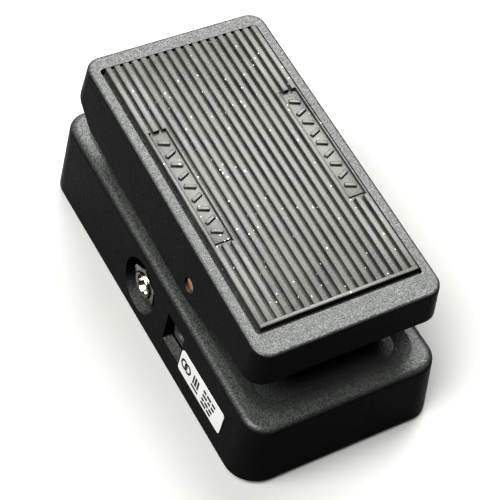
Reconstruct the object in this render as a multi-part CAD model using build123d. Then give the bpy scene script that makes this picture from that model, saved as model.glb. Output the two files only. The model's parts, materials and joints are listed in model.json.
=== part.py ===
"""Compact volume pedal: a rocking foot treadle on a die-cast base, driving a potentiometer by a band.

Row frame, millimetres: origin on the floor under the middle of the base, +X to the player's right,
+Y towards the toe end, +Z up. The treadle is stored a little toe-up of level.
"""

from build123d import *
from math import atan, cos, degrees, hypot, radians, sin
import os

# ---- base housing ----
base_width = 70.0            # over the bottom edge
base_length = 135.4
base_corner = 9.8            # corner radius in plan, at the bottom edge
side_wall_height = 27.6      # bottom edge to the top of the rim, at the toe end
heel_drop = 3.4              # the rim and deck slope down by this from the toe end to the heel end
side_draft = 3.2             # each long wall leans in by this over its height
end_draft = 1.9
shell_wall = 2.2
rim_round = 2.4
rim_width = 4.2              # top outline to where the dish begins
dish_slope = 4.5             # width of the slope from the rim down to the deck
deck_depth = 1.5             # the deck lies this far below the rim
neck_width = 49.0            # the raised neck that the treadle rocks over
deck_end = 18.25              # base's end to the neck's end
neck_corner = 8.0
neck_height = 8.0            # above the deck
foot_height = 2.0
foot_diameter = 13.0
foot_inset = 13.0            # from the plate's edges to a foot's centre
plate_thickness = 1.5
plate_ledge = 1.1            # ledge width that the plate seats on
fit_gap = 0.15               # between pieces that sit in one another

# ---- pivot and treadle ----
pivot_y = -21.5
shaft_diameter = 5.0
running_gap = 0.03           # radial, shaft in bush
rest_tilt = 3.9              # degrees toe-up of level, as stored
toe_travel = 11.0            # degrees from rest to toe-down
heel_travel = 7.0            # degrees from rest to heel-down
side_border = 3.4            # treadle's rim beside the pad's pocket
end_border = 6.4
treadle_corner = 5.2
treadle_flare = 1.3          # each wall leans out by this over end_skirt
treadle_centre = 20.8        # from the pivot to mid-length, towards the toe
treadle_rise = 13.3          # from the pivot up to the top face
end_skirt = 12.6             # depth of the end walls
side_skirt = 18.3            # depth of the side walls between toe and pivot
toe_chamfer_start = 66.2     # from the pivot, where the side wall's lower edge turns up
toe_chamfer_end = 76.9
heel_chamfer_end = -24.2
pivot_lug = 6.0              # radius of the side wall's lug round the shaft
treadle_wall = 2.5
treadle_round = 1.0
pad_pocket_depth = 2.0
pocket_floor = 2.5
shaft_recess = 0.5           # each shaft end sits this far inside the lug's face

# ---- tread pad ----
pad_width = 52.4
pad_length = 101.0
pad_side_gap = 1.1           # to the pocket's side walls
pad_toe_gap = 0.3
pad_heel_gap = 1.5
pad_shift = 1.3              # pocket's middle, towards the toe from the treadle's middle
pad_offset = 0.7             # the pad sits this far towards +X in its pocket
pad_base = 1.3
rib_height = 1.1
rib_count = 18               # raised ribs between the two plain borders
rib_pitch = 2.98
groove_width = 1.0
pad_heel_bar = 1.4           # plain bar that closes the grooves at the heel end
badge_width = 5.6
badge_length = 43.8
badge_trench = 0.9           # gap at each end of a badge's floor
badge_floor = 0.45           # a badge's floor lies this far above the grooves' floor
badge_shift = 2.7            # badge's middle, towards the toe from the treadle's middle
badge_left_x = -21.5
badge_right_x = 23.4
badge_marks = 9

# ---- band drive ----
quadrant_radius = 26.8
quadrant_half_angle = 27.0
quadrant_x = 4.0             # middle plane of quadrant, band and drum
quadrant_plate = 3.0
quadrant_rim = 5.0
band_thickness = 0.2
band_width = 3.0
band_gap = 0.15
drum_radius = 4.2
drum_length = 7.0
pot_height = 10.85            # drum's and potentiometer's axis above the base's bottom edge
pot_shaft_diameter = 6.0
pot_body_diameter = 16.4
pot_body_length = 8.6
pot_bushing_diameter = 7.0
pot_bushing_length = 4.5
bracket_thickness = 1.5

# ---- sockets ----
jack_y = 3.8
jack_z = 14.3
jack_recess_diameter = 18.8
jack_recess_depth = 4.3       # from the wall to the recess floor, at the socket's height
jack_panel = 2.0             # wall left behind the recess floor
jack_bore = 6.5
jack_bore_depth = 30.6       # takes a standard quarter-inch plug
jack_bushing_diameter = 9.4
jack_bushing_out = 3.6       # beyond the recess floor
jack_body = (26.4, 15.0, 13.4)
jack_nut_flats = 12.7
inlet_y = -19.0
inlet_z = 15.55
inlet_window = (10.4, 11.5)
inlet_setback = 3.05          # from the wall to the inlet's face
inlet_body = (13.0, 9.6, 10.8)
inlet_bore = 6.2
inlet_bore_depth = 9.5
inlet_pin = 2.1
inlet_pin_length = 8.5
board_thickness = 1.2
board_side_gap = 0.7          # to the sockets' wall bosses
board_toe = 38.0
board_heel = -7.5
board_notch = (8.0, 5.0)     # clears the quadrant
board_tongue_heel = -27.0
board_tongue_width = 13.0

# ---- label ----
label_length = 26.6
label_height = 9.0
label_thickness = 0.25
label_y = -38.3
label_z = 13.4

# ---- worked out from the sizes above ----
base_z = foot_height
rim_z = base_z + side_wall_height
deck_z = rim_z - deck_depth
neck_z = deck_z + neck_height
deck_ceiling = deck_z - shell_wall
neck_ceiling = neck_z - shell_wall
top_width = base_width - 2 * side_draft
top_length = base_length - 2 * end_draft
top_corner = base_corner - (side_draft + end_draft) / 2
plate_top = base_z + plate_thickness
lean = degrees(atan(side_draft / side_wall_height))
pot_z = base_z + pot_height
pivot_z = pot_z + quadrant_radius + 2 * band_thickness + band_gap + drum_radius
neck_length = base_length - 2 * deck_end
pocket_width = pad_width + 2 * pad_side_gap
pocket_length = pad_length + pad_toe_gap + pad_heel_gap
pocket_centre = treadle_centre + pad_shift
treadle_width = pocket_width + 2 * side_border    # over the top edge
treadle_length = pocket_length + 2 * end_border
ceiling_rise = treadle_rise - pad_pocket_depth - pocket_floor
rocker = Pos(0, pivot_y, pivot_z) * Rot(rest_tilt, 0, 0)


def wall_x(z):
    """Outer face of a long wall at height z."""
    return base_width / 2 - side_draft * (z - base_z) / side_wall_height


jack_floor_x = wall_x(jack_z) - jack_recess_depth
inlet_face_x = wall_x(inlet_z) - inlet_setback
board_width = 2 * (jack_floor_x - jack_panel - board_side_gap)


def tapered_block(width, length, corner, draft_x, draft_y, z_low, z_high):
    """A block with rounded corners that narrows upwards, the drafts being those of the whole wall."""
    share_low = (z_low - base_z) / side_wall_height
    share_high = (z_high - base_z) / side_wall_height
    mean_draft = (draft_x + draft_y) / 2
    ends = []
    for share, z in ((share_low, z_low), (share_high, z_high)):
        outline = RectangleRounded(
            width - 2 * draft_x * share,
            length - 2 * draft_y * share,
            corner - mean_draft * share,
        )
        ends.append(Pos(0, 0, z) * outline)
    return loft(Sketch() + ends)


def round_block(width, length, corner, z_low, z_high, y=0.0, x=0.0):
    return Pos(x, y, z_low) * extrude(RectangleRounded(width, length, corner), z_high - z_low)


def brick(x0, x1, y0, y1, z0, z1):
    middle = Pos((x0 + x1) / 2, (y0 + y1) / 2, (z0 + z1) / 2)
    return middle * Box(x1 - x0, y1 - y0, z1 - z0)


def rod_x(x0, x1, y, z, diameter):
    return Pos((x0 + x1) / 2, y, z) * Rot(0, 90, 0) * Cylinder(diameter / 2, abs(x1 - x0))


def rod_z(x, y, z0, z1, diameter):
    return Pos(x, y, (z0 + z1) / 2) * Cylinder(diameter / 2, abs(z1 - z0))


def grid(xs, ys):
    return [(x, y) for x in xs for y in ys]


# ---- fasteners ----
def pan_screw(x, y, head_z, shank, length, head, up=True):
    """A cross-head screw. head_z is the plane under its head; the shank goes up, or down."""
    way = 1 if up else -1
    head_height = 0.55 * shank + 0.4
    drive = min(0.5 * head_height, 1.0)
    body = rod_z(x, y, head_z, head_z - way * head_height, head)
    body = fillet(body.edges().filter_by(GeomType.CIRCLE).sort_by(Axis.Z)[0 if up else -1], head_height * 0.45)
    body += rod_z(x, y, head_z - way * 0.2, head_z + way * length, shank)
    crown = head_z - way * head_height
    slot = brick(x - head * 0.3, x + head * 0.3, y - shank * 0.12, y + shank * 0.12,
                 min(crown, crown + way * drive), max(crown, crown + way * drive))
    cross = Pos(x, y, 0) * Rot(0, 0, 90) * Pos(-x, -y, 0) * slot
    return body - slot - cross


plate_screw_shank = 3.5
plate_screw_head = 6.4
plate_screw_length = 9.0
plate_screw_x = base_width / 2 - shell_wall - 6.6
plate_screw_y = base_length / 2 - shell_wall - 6.6
plate_screw_spots = grid((-plate_screw_x, plate_screw_x), (-plate_screw_y, plate_screw_y))
boss_diameter = 9.0


def countersunk_screw(x, y):
    """Its head is flush with the underside of the bottom plate."""
    cone_height = (plate_screw_head - plate_screw_shank) / 2
    body = Pos(x, y, base_z + cone_height / 2) * Cone(
        plate_screw_head / 2, plate_screw_shank / 2, cone_height
    )
    body += rod_z(x, y, base_z + cone_height - 0.1, base_z + plate_screw_length, plate_screw_shank)
    slot = brick(x - 2.0, x + 2.0, y - 0.4, y + 0.4, base_z, base_z + 0.9)
    cross = brick(x - 0.4, x + 0.4, y - 2.0, y + 2.0, base_z, base_z + 0.9)
    return body - slot - cross


# ---- base housing ----
tower_x = (15.5, 24.0)       # inner and outer face of each pivot tower
tower_radius = 6.4
tower_foot = 19.0            # length of a tower where it meets the neck
bush_diameter = 8.0
block_x = (-12.0, -4.0)      # friction block on the shaft
block_radius = 5.6
friction_gap = 0.3
tension_x = sum(block_x) / 2
tension_thread = 5.0
slot_x = (quadrant_x - 4.2, quadrant_x + 4.2)
slot_half_length = 14.0
board_boss_spots = grid((-18.0, 18.0), (32.0,))
board_top = jack_z + jack_body[2] / 2 + board_thickness
bracket_x = quadrant_x + drum_length / 2 + 3.6
bracket_flange_length = 8.6
bracket_screw_x = bracket_x + bracket_thickness + bracket_flange_length - 3.4
bracket_screw_spots = grid((bracket_screw_x,), (pivot_y - 5.0, pivot_y + 5.0))


def pivot_lobe(x0, x1, radius, foot):
    """An upright web that runs from the neck up round the shaft."""
    web = Plane.YZ * (
        Pos(pivot_y, pivot_z) * Circle(radius)
        + make_hull(
            [
                *(Pos(pivot_y, pivot_z) * Circle(radius)).edges(),
                *(Pos(pivot_y, neck_z - 0.5) * Rectangle(foot, 1.0)).edges(),
            ]
        )
    )
    return Pos(x0, 0, 0) * extrude(web, x1 - x0, dir=(1, 0, 0))


def slope_z(y):
    """Height of the rim's sloping plane."""
    return rim_z - heel_drop * (0.5 - y / base_length)


def under_slope(drop):
    """All that is lower than the rim's plane by a drop."""
    far = base_length
    outline = Polyline((-far, -far), (far, -far), (far, slope_z(far) - drop), (-far, slope_z(-far) - drop), close=True)
    face = Plane.YZ * make_face(outline)
    return Pos(-base_width, 0, 0) * extrude(face, 2 * base_width, dir=(1, 0, 0))


def base_housing():
    outer = tapered_block(base_width, base_length, base_corner, side_draft, end_draft, base_z, rim_z)
    outer &= under_slope(0.0)
    outer = fillet(outer.faces().sort_by(Axis.Z)[-1].edges(), rim_round)
    dish_ends = []
    for inset, z in ((rim_width - dish_slope / deck_depth, rim_z + 1.0), (rim_width + dish_slope, deck_z)):
        outline = RectangleRounded(
            top_width - 2 * inset, top_length - 2 * inset, max(top_corner + 3.0 - inset * 0.5, 3.0)
        )
        dish_ends.append(Pos(0, 0, z) * outline)
    toe_edge = Pos(0, base_length / 2, rim_z)
    outer -= toe_edge * Rot(degrees(atan(heel_drop / base_length)), 0, 0) * toe_edge.inverse() * loft(Sketch() + dish_ends)
    brink = [e for e in outer.edges() if abs(e.center().Z - slope_z(e.center().Y)) < 0.01
             and abs(e.center().X) < top_width / 2 - rim_width + 0.6
             and abs(e.center().Y) < top_length / 2 - rim_width + 0.6]
    outer = fillet(brink, 2.0)
    outer += round_block(neck_width, neck_length, neck_corner, deck_z - heel_drop - 1.0, neck_z)
    neck_top = outer.faces().sort_by(Axis.Z)[-1]
    outer = fillet(neck_top.edges(), 1.5)

    # hollow underneath, with the ledge that the bottom plate seats on
    inner_width = base_width - 2 * shell_wall
    inner_length = base_length - 2 * shell_wall
    inner_corner = base_corner - shell_wall
    hollow = tapered_block(
        inner_width - 2 * plate_ledge, inner_length - 2 * plate_ledge, inner_corner - plate_ledge,
        side_draft, end_draft, base_z, deck_ceiling,
    )
    hollow &= under_slope(deck_depth + shell_wall)
    hollow += round_block(
        neck_width - 2 * shell_wall, neck_length - 2 * shell_wall, neck_corner - shell_wall,
        deck_ceiling - heel_drop - 1.0, neck_ceiling,
    )
    outer -= hollow
    outer -= round_block(inner_width, inner_length, inner_corner, base_z, plate_top)

    # pivot towers, friction block, screw bosses and socket bosses
    for side in (-1, 1):
        low, high = sorted((side * tower_x[0], side * tower_x[1]))
        outer += pivot_lobe(low, high, tower_radius, tower_foot)
    outer += pivot_lobe(block_x[0], block_x[1], block_radius, 14.0)
    core = tapered_block(base_width - shell_wall, base_length - shell_wall, base_corner - shell_wall / 2,
                         side_draft, end_draft, base_z, deck_z)
    core &= brick(-base_width, base_width, -base_length, base_length, plate_top, deck_z - 1.0)
    core &= under_slope(deck_depth + 1.0)
    socket_x = jack_floor_x - jack_panel
    for x, y in plate_screw_spots:
        outer += rod_z(x, y, plate_top, deck_z - 1.0, boss_diameter) & core
    for side in (-1, 1):
        boss = rod_x(side * socket_x, side * base_width / 2, jack_y, jack_z, jack_recess_diameter + 4.4)
        outer += boss & core
    for x, y in board_boss_spots:
        outer += rod_z(x, y, board_top, neck_z - 1.0, 6.0)
    outer += brick(block_x[0], block_x[1], pivot_y - 5, pivot_y + 5, neck_ceiling - 4, neck_z - 1)

    # holes
    for side in (-1, 1):
        outer -= rod_x(side * jack_floor_x, side * (base_width / 2 + 2), jack_y, jack_z, jack_recess_diameter)
        outer -= rod_x(side * (socket_x - 1), side * (jack_floor_x + 1), jack_y, jack_z,
                       jack_bushing_diameter + 2 * fit_gap)
        low, high = sorted((side * (tower_x[0] - 1), side * (tower_x[1] + 1)))
        outer -= rod_x(low, high, pivot_y, pivot_z, bush_diameter)
    outer -= rod_x(block_x[0] - 1, block_x[1] + 1, pivot_y, pivot_z, shaft_diameter + 2 * friction_gap)
    outer -= rod_z(tension_x, pivot_y, neck_ceiling - 6, pivot_z, tension_thread + 2 * running_gap)
    outer -= brick(-base_width / 2 - 1, -inlet_face_x + 7.0, inlet_y - inlet_window[0] / 2,
                   inlet_y + inlet_window[0] / 2, inlet_z - inlet_window[1] / 2, inlet_z + inlet_window[1] / 2)
    outer -= brick(slot_x[0], slot_x[1], pivot_y - slot_half_length, pivot_y + slot_half_length,
                   neck_ceiling - 1, neck_z + 1)
    for x, y in plate_screw_spots:
        outer -= rod_z(x, y, plate_top - 1, base_z + plate_screw_length + 1.5, plate_screw_shank)
    for x, y in board_boss_spots:
        outer -= rod_z(x, y, board_top - 1, board_top + 6.5, 2.5)
    for x, y in bracket_screw_spots:
        outer -= rod_z(x, y, neck_ceiling - 1, neck_ceiling + 6.0, 3.0)
    return outer


def bottom_plate():
    plate = round_block(
        base_width - 2 * shell_wall - 2 * fit_gap,
        base_length - 2 * shell_wall - 2 * fit_gap,
        base_corner - shell_wall - fit_gap,
        base_z,
        plate_top,
    )
    cone_height = (plate_screw_head - plate_screw_shank) / 2
    for x, y in plate_screw_spots:
        plate -= Pos(x, y, base_z + cone_height / 2) * Cone(
            plate_screw_head / 2 + fit_gap, plate_screw_shank / 2 + fit_gap, cone_height
        )
        plate -= rod_z(x, y, base_z - 1, plate_top + 1, plate_screw_shank + 2 * fit_gap)
    plate -= rod_z(tension_x, pivot_y, base_z - 1, plate_top + 1, tension_thread + 1.0)
    return plate


def feet():
    reach_x = base_width / 2 - shell_wall - foot_inset
    reach_y = plate_screw_y - plate_screw_head / 2 - foot_diameter / 2 - 2.0
    shapes = []
    for x, y in grid((-reach_x, reach_x), (-reach_y, reach_y)):
        foot = rod_z(x, y, 0, foot_height, foot_diameter)
        shapes.append(fillet(foot.edges().sort_by(Axis.Z)[0], 0.6))
    return shapes


# ---- treadle, in a frame with its origin on the pivot axis ----
def treadle_block(inset, depth, top, corner):
    """The treadle's outline, leaning outwards downwards, from `top` down to `top - depth`."""
    ends = []
    for z in (top, top - depth):
        grow = treadle_flare * (treadle_rise - z) / end_skirt
        outline = RectangleRounded(
            treadle_width - 2 * inset + 2 * grow, treadle_length - 2 * inset + 2 * grow, corner + grow * 0.6
        )
        ends.append(Pos(0, treadle_centre, z) * outline)
    return loft(Sketch() + ends)


def skirt_side_view(drop=0.0):
    """What lies above the lower edge of the treadle's walls, seen from the side."""
    end_z = treadle_rise - end_skirt
    deep_z = treadle_rise - side_skirt
    far = treadle_length
    outline = Polyline(
        (-far, treadle_rise + 5), (-far, end_z), (heel_chamfer_end, end_z), (-2.5, -pivot_lug + 0.4),
        (2.0, -pivot_lug), (toe_chamfer_start, deep_z), (toe_chamfer_end, end_z), (2 * far, end_z),
        (2 * far, treadle_rise + 5), close=True,
    )
    face = Plane.YZ * make_face(outline)
    return Pos(-base_width, 0, -drop) * extrude(face, 2 * base_width, dir=(1, 0, 0))


bumper_height = 5.0
bumper_diameter = 9.0
bumper_margin = 8.0          # neck's end to a bumper's middle
toe_stop = (0.0, neck_length / 2 - bumper_margin - pivot_y)      # treadle's stop bosses, from the pivot
heel_stop = (0.0, bumper_margin - neck_length / 2 - pivot_y)
stop_gap = 0.25              # left between a stop and its bumper at the limit
stop_diameter = 8.0
quadrant_flange = (12.0, 16.0)
quadrant_flange_y = 11.0
quadrant_screw_spots = grid((quadrant_x,), (quadrant_flange_y - 4.5, quadrant_flange_y + 4.5))
lug_boss_length = 3.2


def stop_depth(spot, angle):
    """Lower end of a stop boss, which meets its bumper's top when the treadle stands at `angle`."""
    y = spot[1]
    reach = radians(angle)
    bumper_top = neck_z + bumper_height + stop_gap
    return (bumper_top - pivot_z - y * sin(reach)) / cos(reach) + abs(sin(reach)) * stop_diameter / 2


def treadle():
    skin = treadle_block(0.0, side_skirt + 2.0, treadle_rise, treadle_corner)
    skin = fillet(skin.faces().sort_by(Axis.Z)[-1].edges(), treadle_round)
    skin -= round_block(pocket_width, pocket_length, 1.2, treadle_rise - pad_pocket_depth,
                        treadle_rise + 1, y=pocket_centre)
    skin &= skirt_side_view()
    skin -= treadle_block(treadle_wall, side_skirt + 4.0, ceiling_rise, treadle_corner - treadle_wall + 0.6)
    for spot, angle in ((toe_stop, rest_tilt - toe_travel), (heel_stop, rest_tilt + heel_travel)):
        skin += rod_z(spot[0], spot[1], stop_depth(spot, angle), ceiling_rise + 0.5, stop_diameter)
    lug_x = treadle_width / 2 + treadle_flare * treadle_rise / end_skirt
    for side in (-1, 1):
        boss = rod_x(side * (lug_x - treadle_wall - lug_boss_length), side * (lug_x - 0.8), 0, 0, 2 * pivot_lug)
        skin += boss & skirt_side_view()
        skin += brick(*sorted((side * 14.0, side * 12.0)), 20.0, treadle_centre + 50.0,
                      ceiling_rise - 3.0, ceiling_rise + 0.5)
    skin -= rod_x(-lug_x - 1, lug_x + 1, 0, 0, shaft_diameter)
    for side in (-1, 1):
        skin -= rod_z(side * grub_x, 0, -pivot_lug - 1, -shaft_diameter / 2 + 0.5, grub_thread)
    for x, y in quadrant_screw_spots:
        skin -= rod_z(x, y, ceiling_rise - 1, ceiling_rise + 1.8, 2.5)
    return skin


grub_thread = 3.0
grub_x = treadle_width / 2 + treadle_flare - treadle_wall - lug_boss_length / 2 + 0.4
grub_length = 3.2


def pivot_shaft():
    reach = treadle_width / 2 + treadle_flare * treadle_rise / end_skirt - shaft_recess
    shaft = rod_x(-reach, reach, 0, 0, shaft_diameter)
    ends = shaft.edges().filter_by(GeomType.CIRCLE)
    return chamfer(ends, 0.4)


def grub_screws():
    shapes = []
    for side in (-1, 1):
        top = -shaft_diameter / 2
        screw = rod_z(side * grub_x, 0, top, top - grub_length, grub_thread)
        socket = Pos(side * grub_x, 0, top - grub_length) * extrude(RegularPolygon(0.85, 6), 1.4)
        shapes.append(screw - socket)
    return shapes


def pad_grooves():
    grooves = []
    first = -(rib_count - 2) * rib_pitch / 2
    low = treadle_rise - pad_pocket_depth + pad_base
    heel = pocket_centre - pocket_length / 2 + pad_heel_gap + pad_heel_bar
    toe = pocket_centre + pocket_length / 2
    for number in range(rib_count - 1):
        x = pad_offset + first + number * rib_pitch
        grooves.append(brick(x - groove_width / 2, x + groove_width / 2, heel, toe, low, low + rib_height + 1))
    return grooves


badge_low = treadle_rise - pad_pocket_depth + pad_base
badge_high = badge_low + rib_height
badge_y = treadle_centre + badge_shift


def badge_area(x, inset, low, high):
    half_x = badge_width / 2 - inset
    half_y = badge_length / 2 - inset
    return brick(x - half_x, x + half_x, badge_y - half_y, badge_y + half_y, low, high)


def badge(x):
    """A sunk strip in the ribs that holds a row of raised, plain slanted bars."""
    half_y = badge_length / 2 - badge_trench
    floor = badge_area(x, 0.0, badge_low - 0.4, badge_low + badge_floor)
    floor &= brick(x - badge_width, x + badge_width, badge_y - half_y, badge_y + half_y, 0, treadle_rise)
    step = (badge_length - 5.0) / badge_marks
    for number in range(badge_marks):
        y = badge_y - badge_length / 2 + 2.5 + step * (number + 0.5)
        slant = 24 if number % 2 else -24
        floor += Pos(x, y, (badge_low + badge_high) / 2) * Rot(0, 0, slant) * Box(3.7, 1.3, rib_height)
    return floor


def tread_pad():
    low = treadle_rise - pad_pocket_depth
    y = pocket_centre - pocket_length / 2 + pad_heel_gap + pad_length / 2
    pad = round_block(pad_width, pad_length, 0.8, low, low + pad_base + rib_height, y=y, x=pad_offset)
    pad -= pad_grooves()
    for x in (badge_left_x, badge_right_x):
        pad -= badge_area(x, 0.0, badge_low, badge_high + 1)
        pad += badge(x)
    return pad


# ---- band drive ----
def ring_sector(inner, outer, half_angle, width):
    """A piece of ring hanging under the pivot, square to X."""
    flat = Circle(outer) - Circle(inner)
    span = 3 * outer
    edge = Polyline(
        (0, 0), (-span * sin(radians(half_angle)), -span * cos(radians(half_angle))),
        (0, -2 * span), (span * sin(radians(half_angle)), -span * cos(radians(half_angle))), close=True,
    )
    face = Plane.YZ * (flat & make_face(edge))
    return Pos(quadrant_x - width / 2, 0, 0) * extrude(face, width, dir=(1, 0, 0))


def drive_quadrant():
    plate = ring_sector(1.0, quadrant_radius, quadrant_half_angle, quadrant_plate)
    plate += ring_sector(quadrant_radius - 2.4, quadrant_radius, quadrant_half_angle, quadrant_rim)
    half = quadrant_plate / 2
    plate += rod_x(quadrant_x - half, quadrant_x + half, 0, 0, 13.0)
    plate += brick(quadrant_x - half, quadrant_x + half, -1.0, quadrant_flange_y + 7.0, 1.0, ceiling_rise)
    plate += brick(
        quadrant_x - quadrant_flange[0] / 2, quadrant_x + quadrant_flange[0] / 2,
        quadrant_flange_y - quadrant_flange[1] / 2, quadrant_flange_y + quadrant_flange[1] / 2,
        ceiling_rise - 2.0, ceiling_rise,
    )
    plate -= rod_x(quadrant_x - 9, quadrant_x + 9, 0, 0, shaft_diameter + 2 * friction_gap)
    window = ring_sector(11.0, quadrant_radius - 6.0, quadrant_half_angle - 13.0, 20.0)
    plate -= window
    for x, y in quadrant_screw_spots:
        plate -= rod_z(x, y, ceiling_rise - 9, ceiling_rise + 1, 3.0)
        plate -= rod_z(x, y, -1, ceiling_rise - 2.0, 6.2)
    return plate


def quadrant_screws():
    return [pan_screw(x, y, ceiling_rise - 2.0, 2.5, 3.4, 5.0) for x, y in quadrant_screw_spots]


def drive_band():
    return ring_sector(quadrant_radius, quadrant_radius + band_thickness, quadrant_half_angle, band_width)


def band_clamps():
    """Small blocks that hold the band's two ends on the quadrant."""
    shapes = []
    angle = quadrant_half_angle - 3.0
    for side in (-1, 1):
        block = Box(quadrant_rim, 3.0, 0.9)
        place = Rot(side * angle, 0, 0) * Pos(quadrant_x, 0, -quadrant_radius - band_thickness - 0.45)
        shapes.append(place * block)
    return shapes


def band_loop():
    outer = rod_x(quadrant_x - band_width / 2, quadrant_x + band_width / 2, pivot_y, pot_z,
                  2 * (drum_radius + band_thickness))
    return outer - rod_x(quadrant_x - 9, quadrant_x + 9, pivot_y, pot_z, 2 * drum_radius)


drum_x = (quadrant_x - drum_length / 2, quadrant_x + drum_length / 2)


def band_drum():
    drum = rod_x(drum_x[0], drum_x[1], pivot_y, pot_z, 2 * drum_radius)
    drum -= rod_x(drum_x[0] + 1.0, drum_x[1] + 1, pivot_y, pot_z, pot_shaft_diameter)
    return drum


pot_face_x = bracket_x + bracket_thickness


def pot_shaft():
    shaft = rod_x(drum_x[0] + 1.0, pot_face_x + 2.0, pivot_y, pot_z, pot_shaft_diameter)
    return shaft


def potentiometer():
    body = rod_x(pot_face_x, pot_face_x + pot_body_length, pivot_y, pot_z, pot_body_diameter)
    body = chamfer(body.edges().filter_by(GeomType.CIRCLE).sort_by(Axis.X)[-1], 0.8)
    body += rod_x(pot_face_x - pot_bushing_length, pot_face_x + 0.5, pivot_y, pot_z, pot_bushing_diameter)
    body -= rod_x(pot_face_x - pot_bushing_length - 1, pot_face_x + 2.2, pivot_y, pot_z,
                  pot_shaft_diameter + 2 * running_gap)
    shelf_y = pivot_y + pot_body_diameter / 2
    body += brick(pot_face_x + 0.6, pot_face_x + 2.4, shelf_y - 2.0, shelf_y + 3.0, pot_z - 6.5, pot_z + 6.5)
    return body


def pot_terminals():
    y = pivot_y + pot_body_diameter / 2 + 3.0
    x = pot_face_x + 1.5
    return [brick(x - 0.4, x + 0.4, y, y + 2.6, pot_z + step - 0.9, pot_z + step + 0.9) for step in (-5, 0, 5)]


def hex_nut(x0, x1, y, z, flats, bore):
    blank = Plane.YZ * RegularPolygon(flats / 2, 6, major_radius=False)
    nut = Pos(min(x0, x1), y, z) * extrude(blank, abs(x1 - x0), dir=(1, 0, 0))
    return nut - rod_x(x0 - 1, x1 + 1, y, z, bore)


def pot_nut():
    return hex_nut(bracket_x - 2.6, bracket_x - 0.6, pivot_y, pot_z, 10.0, pot_bushing_diameter)


def pot_washer():
    ring = rod_x(bracket_x - 0.6, bracket_x, pivot_y, pot_z, 11.0)
    return ring - rod_x(bracket_x - 2, bracket_x + 1, pivot_y, pot_z, pot_bushing_diameter + 2 * fit_gap)


def pot_bracket():
    low = pot_z - pot_body_diameter / 2 + 1.0
    plate = brick(bracket_x, bracket_x + bracket_thickness, pivot_y - 8.5, pivot_y + 8.5, low, neck_ceiling)
    plate += brick(bracket_x, bracket_x + bracket_thickness + bracket_flange_length, pivot_y - 8.5, pivot_y + 8.5,
                   neck_ceiling - bracket_thickness, neck_ceiling)
    plate -= rod_x(bracket_x - 1, pot_face_x + 1, pivot_y, pot_z, pot_bushing_diameter + 2 * fit_gap)
    for x, y in bracket_screw_spots:
        plate -= rod_z(x, y, neck_ceiling - 4, neck_ceiling + 1, 3.3)
    return plate


def bracket_screws():
    return [pan_screw(x, y, neck_ceiling - bracket_thickness, 3.0, 6.0, 5.4) for x, y in bracket_screw_spots]


def pivot_bushes():
    shapes = []
    for side in (-1, 1):
        bush = rod_x(side * tower_x[0], side * tower_x[1], pivot_y, pivot_z, bush_diameter)
        bush += rod_x(side * tower_x[1], side * (tower_x[1] + 1.0), pivot_y, pivot_z, bush_diameter + 2.4)
        bush -= rod_x(side * (tower_x[0] - 1), side * (tower_x[1] + 2), pivot_y, pivot_z,
                      shaft_diameter + 2 * running_gap)
        shapes.append(bush)
    return shapes


shoe_height = 4.0


def tension_shoe():
    """A nylon plug that rubs on the shaft from below."""
    top = pivot_z
    plug = rod_z(tension_x, pivot_y, top - shaft_diameter / 2 - shoe_height, top, tension_thread - 0.2)
    return plug - rod_x(block_x[0] - 1, block_x[1] + 1, pivot_y, pivot_z, shaft_diameter + 2 * running_gap) \
        - brick(block_x[0], block_x[1], pivot_y - 5, pivot_y + 5, pivot_z - 1.4, pivot_z + 2)


def tension_screw():
    top = pivot_z - shaft_diameter / 2 - shoe_height
    screw = rod_z(tension_x, pivot_y, top - 6.0, top, tension_thread)
    return screw - Pos(tension_x, pivot_y, top - 6.0) * extrude(RegularPolygon(1.45, 6), 2.6)


def bumper(y):
    pad = rod_z(0, y, neck_z, neck_z + bumper_height, bumper_diameter)
    pad = fillet(pad.edges().sort_by(Axis.Z)[-1], 1.6)
    return pad


def bumper_y(spot, angle):
    """Where a stop boss lands when the treadle stands at `angle`."""
    reach = radians(angle)
    return pivot_y + spot[1] * cos(reach) - stop_depth(spot, angle) * sin(reach)


# ---- sockets and electronics ----
def jack_shell(side):
    length, width, height = jack_body
    inner = jack_floor_x - jack_panel
    body = brick(*sorted((side * (inner - length), side * inner)), jack_y - width / 2, jack_y + width / 2,
                 jack_z - height / 2, jack_z + height / 2)
    body = chamfer(body.edges().filter_by(Axis.X), 0.8)
    front = jack_floor_x + jack_bushing_out
    body -= rod_x(side * (front - jack_bore_depth), side * (inner + 1), jack_y, jack_z, jack_bore)
    body -= rod_x(side * (inner - 1.6), side * (inner + 1), jack_y, jack_z, jack_bushing_diameter + 2.6)
    for way in (-1, 1):
        body -= contact_block(side, way, fit_gap)
    return body


def jack_bushing(side):
    """The threaded metal sleeve, with the shoulder that pulls the body against the wall."""
    inner = jack_floor_x - jack_panel
    front = jack_floor_x + jack_bushing_out
    sleeve = rod_x(side * (inner - 1.6), side * front, jack_y, jack_z, jack_bushing_diameter)
    sleeve += rod_x(side * (inner - 1.6), side * inner, jack_y, jack_z, jack_bushing_diameter + 2.6)
    sleeve -= rod_x(side * (inner - 5), side * (front + 1), jack_y, jack_z, jack_bore)
    mouth = [e for e in sleeve.edges().filter_by(GeomType.CIRCLE) if abs(abs(e.center().X) - front) < 0.01]
    return chamfer(mouth, 0.45)


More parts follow.
